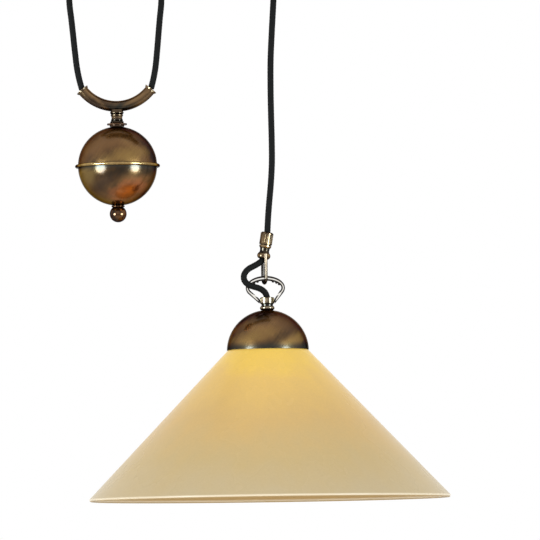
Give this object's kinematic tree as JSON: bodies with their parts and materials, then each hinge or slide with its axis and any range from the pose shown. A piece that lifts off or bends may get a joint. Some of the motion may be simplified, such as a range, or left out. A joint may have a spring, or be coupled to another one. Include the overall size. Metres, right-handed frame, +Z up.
{
  "type": "rise and fall pendant",
  "caption": "Pendant lamp with a conical glass shade, hung with a ball counterweight on one textile cord over two ceiling pulleys, so that it pulls up and down.",
  "frame": {"origin": "on the ceiling, at the centre of the mounting plate's four fixing slots", "axes": "+Z up out of the ceiling plate, +X along the canopy towards the lamp, +Y away from the viewer"},
  "size_m": [0.4567, 0.3998, 0.6189],
  "materials": {
    "antique_brass": "antique brass, brushed and lacquered",
    "polished_brass": "polished brass with dark recesses",
    "zinc_steel": "zinc plated",
    "iron_core": "as cast",
    "textile_cord": "braided textile, black",
    "bakelite": "black moulded thermoset",
    "black_rubber": "matte",
    "white_plastic": "matte",
    "ceramic": "glazed steatite",
    "amber_glass": "amber opal glass, lit from inside",
    "opal_glass": "frosted bulb glass",
    "bulb_metal": "rolled thread"
  },
  "bodies": {
    "ceiling_fitting": {"mounting_plate": "zinc_steel", "plate_tabs": "zinc_steel", "canopy": "antique_brass", "canopy_screws": "polished_brass", "pulley_bracket_left": "zinc_steel", "pulley_bracket_right": "zinc_steel", "plate_screws": "zinc_steel", "pulley_axles": "polished_brass", "axle_clips": "zinc_steel", "anchor_bracket": "zinc_steel", "anchor_bush": "polished_brass", "anchor_nut": "zinc_steel", "anchor_clamp": "polished_brass", "terminal_block": "white_plastic", "terminal_screws": "polished_brass", "earth_terminal": "polished_brass", "inlet_grommet": "black_rubber", "cord_tail": "textile_cord", "cord_over_pulleys": "textile_cord", "cord_left_strand": "textile_cord", "cord_right_strand": "textile_cord", "cord_lamp_strand": "textile_cord"},
    "left_wheel": {"pulley_left": "polished_brass"},
    "right_wheel": {"pulley_right": "polished_brass"},
    "counterweight": {"saddle_tube": "antique_brass", "tube_ferrules": "polished_brass", "neck": "polished_brass", "neck_washer": "antique_brass", "upper_shell": "antique_brass", "equator_band": "polished_brass", "lower_shell": "antique_brass", "weight_core": "iron_core", "tie_rod": "zinc_steel", "finial_collar": "polished_brass", "finial_ball": "antique_brass", "cord_in_tube": "textile_cord"},
    "cord_grip": {"grip_nut": "polished_brass", "grip_body": "polished_brass", "grip_collet": "black_rubber", "suspension_hook": "polished_brass", "cord_in_grip": "textile_cord", "cord_slack_upper": "textile_cord"},
    "bail_ring": {"bail": "polished_brass", "cord_slack_lower": "textile_cord"},
    "lamp": {"inlet_collar": "polished_brass", "cap": "antique_brass", "nipple": "zinc_steel", "nipple_nuts": "zinc_steel", "holder_cover": "antique_brass", "holder_body": "bakelite", "holder_insert": "ceramic", "holder_contacts": "polished_brass", "shade_ring_upper": "bakelite", "shade_ring_lower": "bakelite", "shade_washer": "black_rubber", "glass_shade": "amber_glass", "bulb_cap": "bulb_metal", "bulb_glass": "opal_glass", "cord_in_lamp": "textile_cord"}
  },
  "joints": [
    {"name": "lamp_slide", "type": "slide", "parent": "ceiling_fitting", "child": "cord_grip", "axis": [0, 0, 1], "range_m": [-0.19, 0.12], "deforming": ["cord_lamp_strand"]},
    {"name": "counterweight_slide", "type": "slide", "parent": "ceiling_fitting", "child": "counterweight", "axis": [0, 0, 1], "range_m": [-0.06, 0.095], "deforming": ["cord_left_strand", "cord_right_strand"]},
    {"name": "left_wheel_spin", "type": "hinge", "parent": "ceiling_fitting", "child": "left_wheel", "pos_m": [0.009, 0, -0.03], "axis": [0, 1, 0], "range_deg": [-344, 545]},
    {"name": "right_wheel_spin", "type": "hinge", "parent": "ceiling_fitting", "child": "right_wheel", "pos_m": [0.094, 0, -0.03], "axis": [0, 1, 0], "range_deg": [-344, 545]},
    {"name": "bail_swing", "type": "hinge", "parent": "cord_grip", "child": "bail_ring", "pos_m": [0.0989, 0, -0.3785], "axis": [0, 1, 0], "range_deg": [-12, 12], "deforming": ["cord_slack_upper"]},
    {"name": "lamp_swing", "type": "hinge", "parent": "bail_ring", "child": "lamp", "pos_m": [0.1015, 0, -0.3985], "axis": [1, 0, 0], "range_deg": [-20, 20], "deforming": ["cord_slack_lower"]}
  ],
  "couplings": [
    {"joint": "counterweight_slide", "follows": "lamp_slide", "ratio": -0.5},
    {"joint": "left_wheel_spin", "follows": "lamp_slide", "rad_per_m": -50},
    {"joint": "right_wheel_spin", "follows": "lamp_slide", "rad_per_m": -50}
  ]
}
